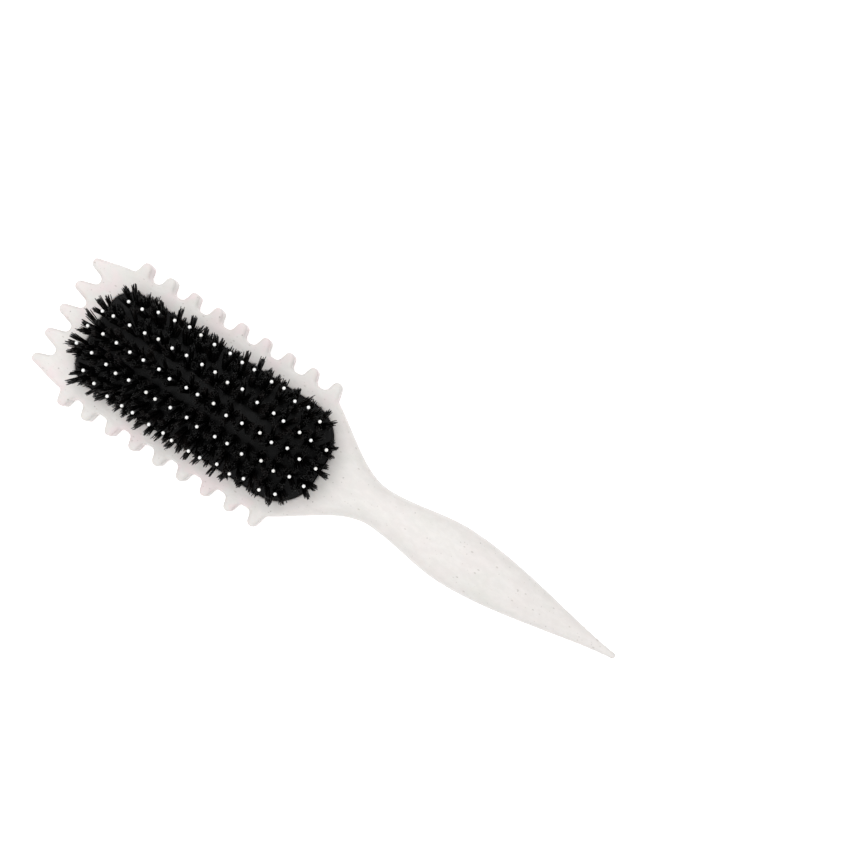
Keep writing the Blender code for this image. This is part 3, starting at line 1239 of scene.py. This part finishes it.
    def build_tufts(self, row: int, finish: bpy.types.Material) -> bpy.types.Object:
        """Make one row of tufts.

        Args:
            row: which row, from the right side.
            finish: the bristle.

        Returns:
            The finished row.
        """
        chance = random.Random(self.seed * 100 + row)
        maker = bmesh.new()
        for seat in self.seats(row):
            mesh = self.tuft(seat, chance)
            maker.from_mesh(mesh)
            bpy.data.meshes.remove(mesh)
        piece = piece_from(maker, f"bristles_row_{row + 1}")
        piece.data.materials.append(finish)
        settle(piece, Slot.TUFT, f"tuft_row_{row + 1}")
        return piece

    def build_pins(
        self, row: int, shaft: bpy.types.Material, ball: bpy.types.Material
    ) -> bpy.types.Object:
        """Make one row of ball-tipped pins.

        Args:
            row: which row, from the right side.
            shaft: the pins' nylon.
            ball: the coat of their tips.

        Returns:
            The finished row.
        """
        chance = random.Random(self.seed * 200 + row)
        maker = bmesh.new()
        for seat in self.seats(row):
            normal = self.dome.normal(*seat)
            lean = normal + Vector((chance.gauss(0, 0.05), chance.gauss(0, 0.035), 0.0))
            lean.normalize()
            foot = Vector((seat[0], seat[1], self.dome.height(*seat))) - normal * self.pin_root
            turn = lean.to_track_quat("Z", "Y").to_matrix().to_4x4()
            rise = self.pin_length + self.pin_root - self.ball_width / 2
            bmesh.ops.create_cone(
                maker,
                cap_ends=True,
                segments=8,
                radius1=self.pin_width / 2,
                radius2=self.pin_width / 2 * self.pin_thin,
                depth=rise,
                matrix=Matrix.Translation(foot + lean * rise / 2) @ turn,
            )
            shafts = set(maker.faces)
            bmesh.ops.create_uvsphere(
                maker,
                u_segments=12,
                v_segments=8,
                radius=self.ball_width / 2,
                matrix=Matrix.Translation(foot + lean * rise) @ turn,
            )
            for face in maker.faces:
                if face not in shafts:
                    face.material_index = 1
        piece = piece_from(maker, f"pins_row_{row + 1}")
        piece.data.materials.append(shaft)
        piece.data.materials.append(ball)
        settle(piece, Slot.PIN, f"pin_strip_{row + 1}")
        return piece


# Studio


@dataclass(frozen=True)
class Lamp:
    """A soft square lamp that points at the brush.

    Across and along are its place to the right of the brush and towards the top of the camera's
    view. Sizes are in metres and the power in watts.
    """

    name: str
    across: float
    along: float
    height: float
    size: float
    power: float


@dataclass
class Studio:
    """Pale floor, soft light and the camera, looking almost straight down on the brush."""

    heading: tuple[float, float] = (-0.8454, 0.5342)
    rise_shift: tuple[float, float] = (-0.01, 0.048)
    aim: tuple[float, float, float] = (-15.9 * MM, -37.0 * MM, 11.0 * MM)
    view_width: float = 321.1 * MM
    distance: float = 0.62
    sensor: float = 36.0
    sky: float = 0.65
    floor_half: float = 30.0
    lamps: tuple[Lamp, ...] = (
        Lamp("key", -0.08, 0.28, 0.95, 0.9, 7.2),
        Lamp("rim", 0.1, -1.0, 1.3, 1.2, 4.0),
        Lamp("fill", -0.7, -0.5, 1.3, 1.2, 3.0),
    )

    def axes(self) -> tuple[Vector, Vector, Vector]:
        """Work out the camera's right, up and backward directions.

        Returns:
            Three unit vectors.
        """
        right = Vector((self.heading[0], -self.heading[1], 0.0)).normalized()
        up = Vector((-right.y, right.x, 0.0))
        across, along = self.rise_shift
        lift = math.sqrt(1 - across**2 - along**2)
        back = (Vector((0.0, 0.0, lift)) - up * along - right * across).normalized()
        up = (up - back * up.dot(back)).normalized()
        return up.cross(back).normalized(), up, back

    def place_camera(self) -> None:
        """Place the camera."""
        right, up, back = self.axes()
        lens = bpy.data.cameras.new("camera")
        lens.sensor_width = self.sensor
        lens.lens = self.sensor * self.distance / self.view_width
        lens.clip_start, lens.clip_end = 0.05, 100.0
        eye = bpy.data.objects.new("camera", lens)
        bpy.context.scene.collection.objects.link(eye)
        turn = Matrix((right, up, back)).transposed().to_4x4()
        eye.matrix_world = Matrix.Translation(Vector(self.aim) + back * self.distance) @ turn
        bpy.context.scene.camera = eye

    def hang(self, lamp: Lamp) -> None:
        """Hang a lamp.

        Args:
            lamp: the lamp.
        """
        right, up, _ = self.axes()
        light = bpy.data.lights.new(lamp.name, "AREA")
        light.size, light.energy = lamp.size, lamp.power
        holder = bpy.data.objects.new(lamp.name, light)
        bpy.context.scene.collection.objects.link(holder)
        place = right * lamp.across + up * lamp.along
        place.z = lamp.height
        holder.location = place
        holder.rotation_mode = "QUATERNION"
        holder.rotation_quaternion = (-place).to_track_quat("-Z", "Y")

    def build(self) -> None:
        """Set up the world, the lamps, the floor and the camera."""
        scene = bpy.context.scene
        scene.view_settings.view_transform = "Standard"
        world = bpy.data.worlds.new("studio")
        world.use_nodes = True
        background = world.node_tree.nodes["Background"]
        background.inputs["Color"].default_value = (1.0, 1.0, 1.0, 1.0)
        background.inputs["Strength"].default_value = self.sky
        scene.world = world
        for lamp in self.lamps:
            self.hang(lamp)
        maker = bmesh.new()
        bmesh.ops.create_grid(maker, x_segments=1, y_segments=1, size=self.floor_half)
        floor = piece_from(maker, "floor", smooth=False)
        floor.data.materials.append(PaperSweep().build())
        self.place_camera()


def main() -> None:
    """Build the brush in order, then the studio."""
    logging.basicConfig(level=logging.INFO, format="%(message)s")
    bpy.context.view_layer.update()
    plan = HeadPlan.from_frame()
    dome = PadDome(plan)
    MouldedBody(plan, dome).build(StrawPolypropylene().build())
    BristlePad(dome).build(PadPlastic().build())
    field = BristleField(dome)
    bristle, nylon, coat = BristleFilament().build(), PinNylon().build(), BallCoat().build()
    for row in range(len(field.counts)):
        field.build_tufts(row, bristle)
        field.build_pins(row, nylon, coat)
    Studio().build()


if __name__ == "__main__":
    main()
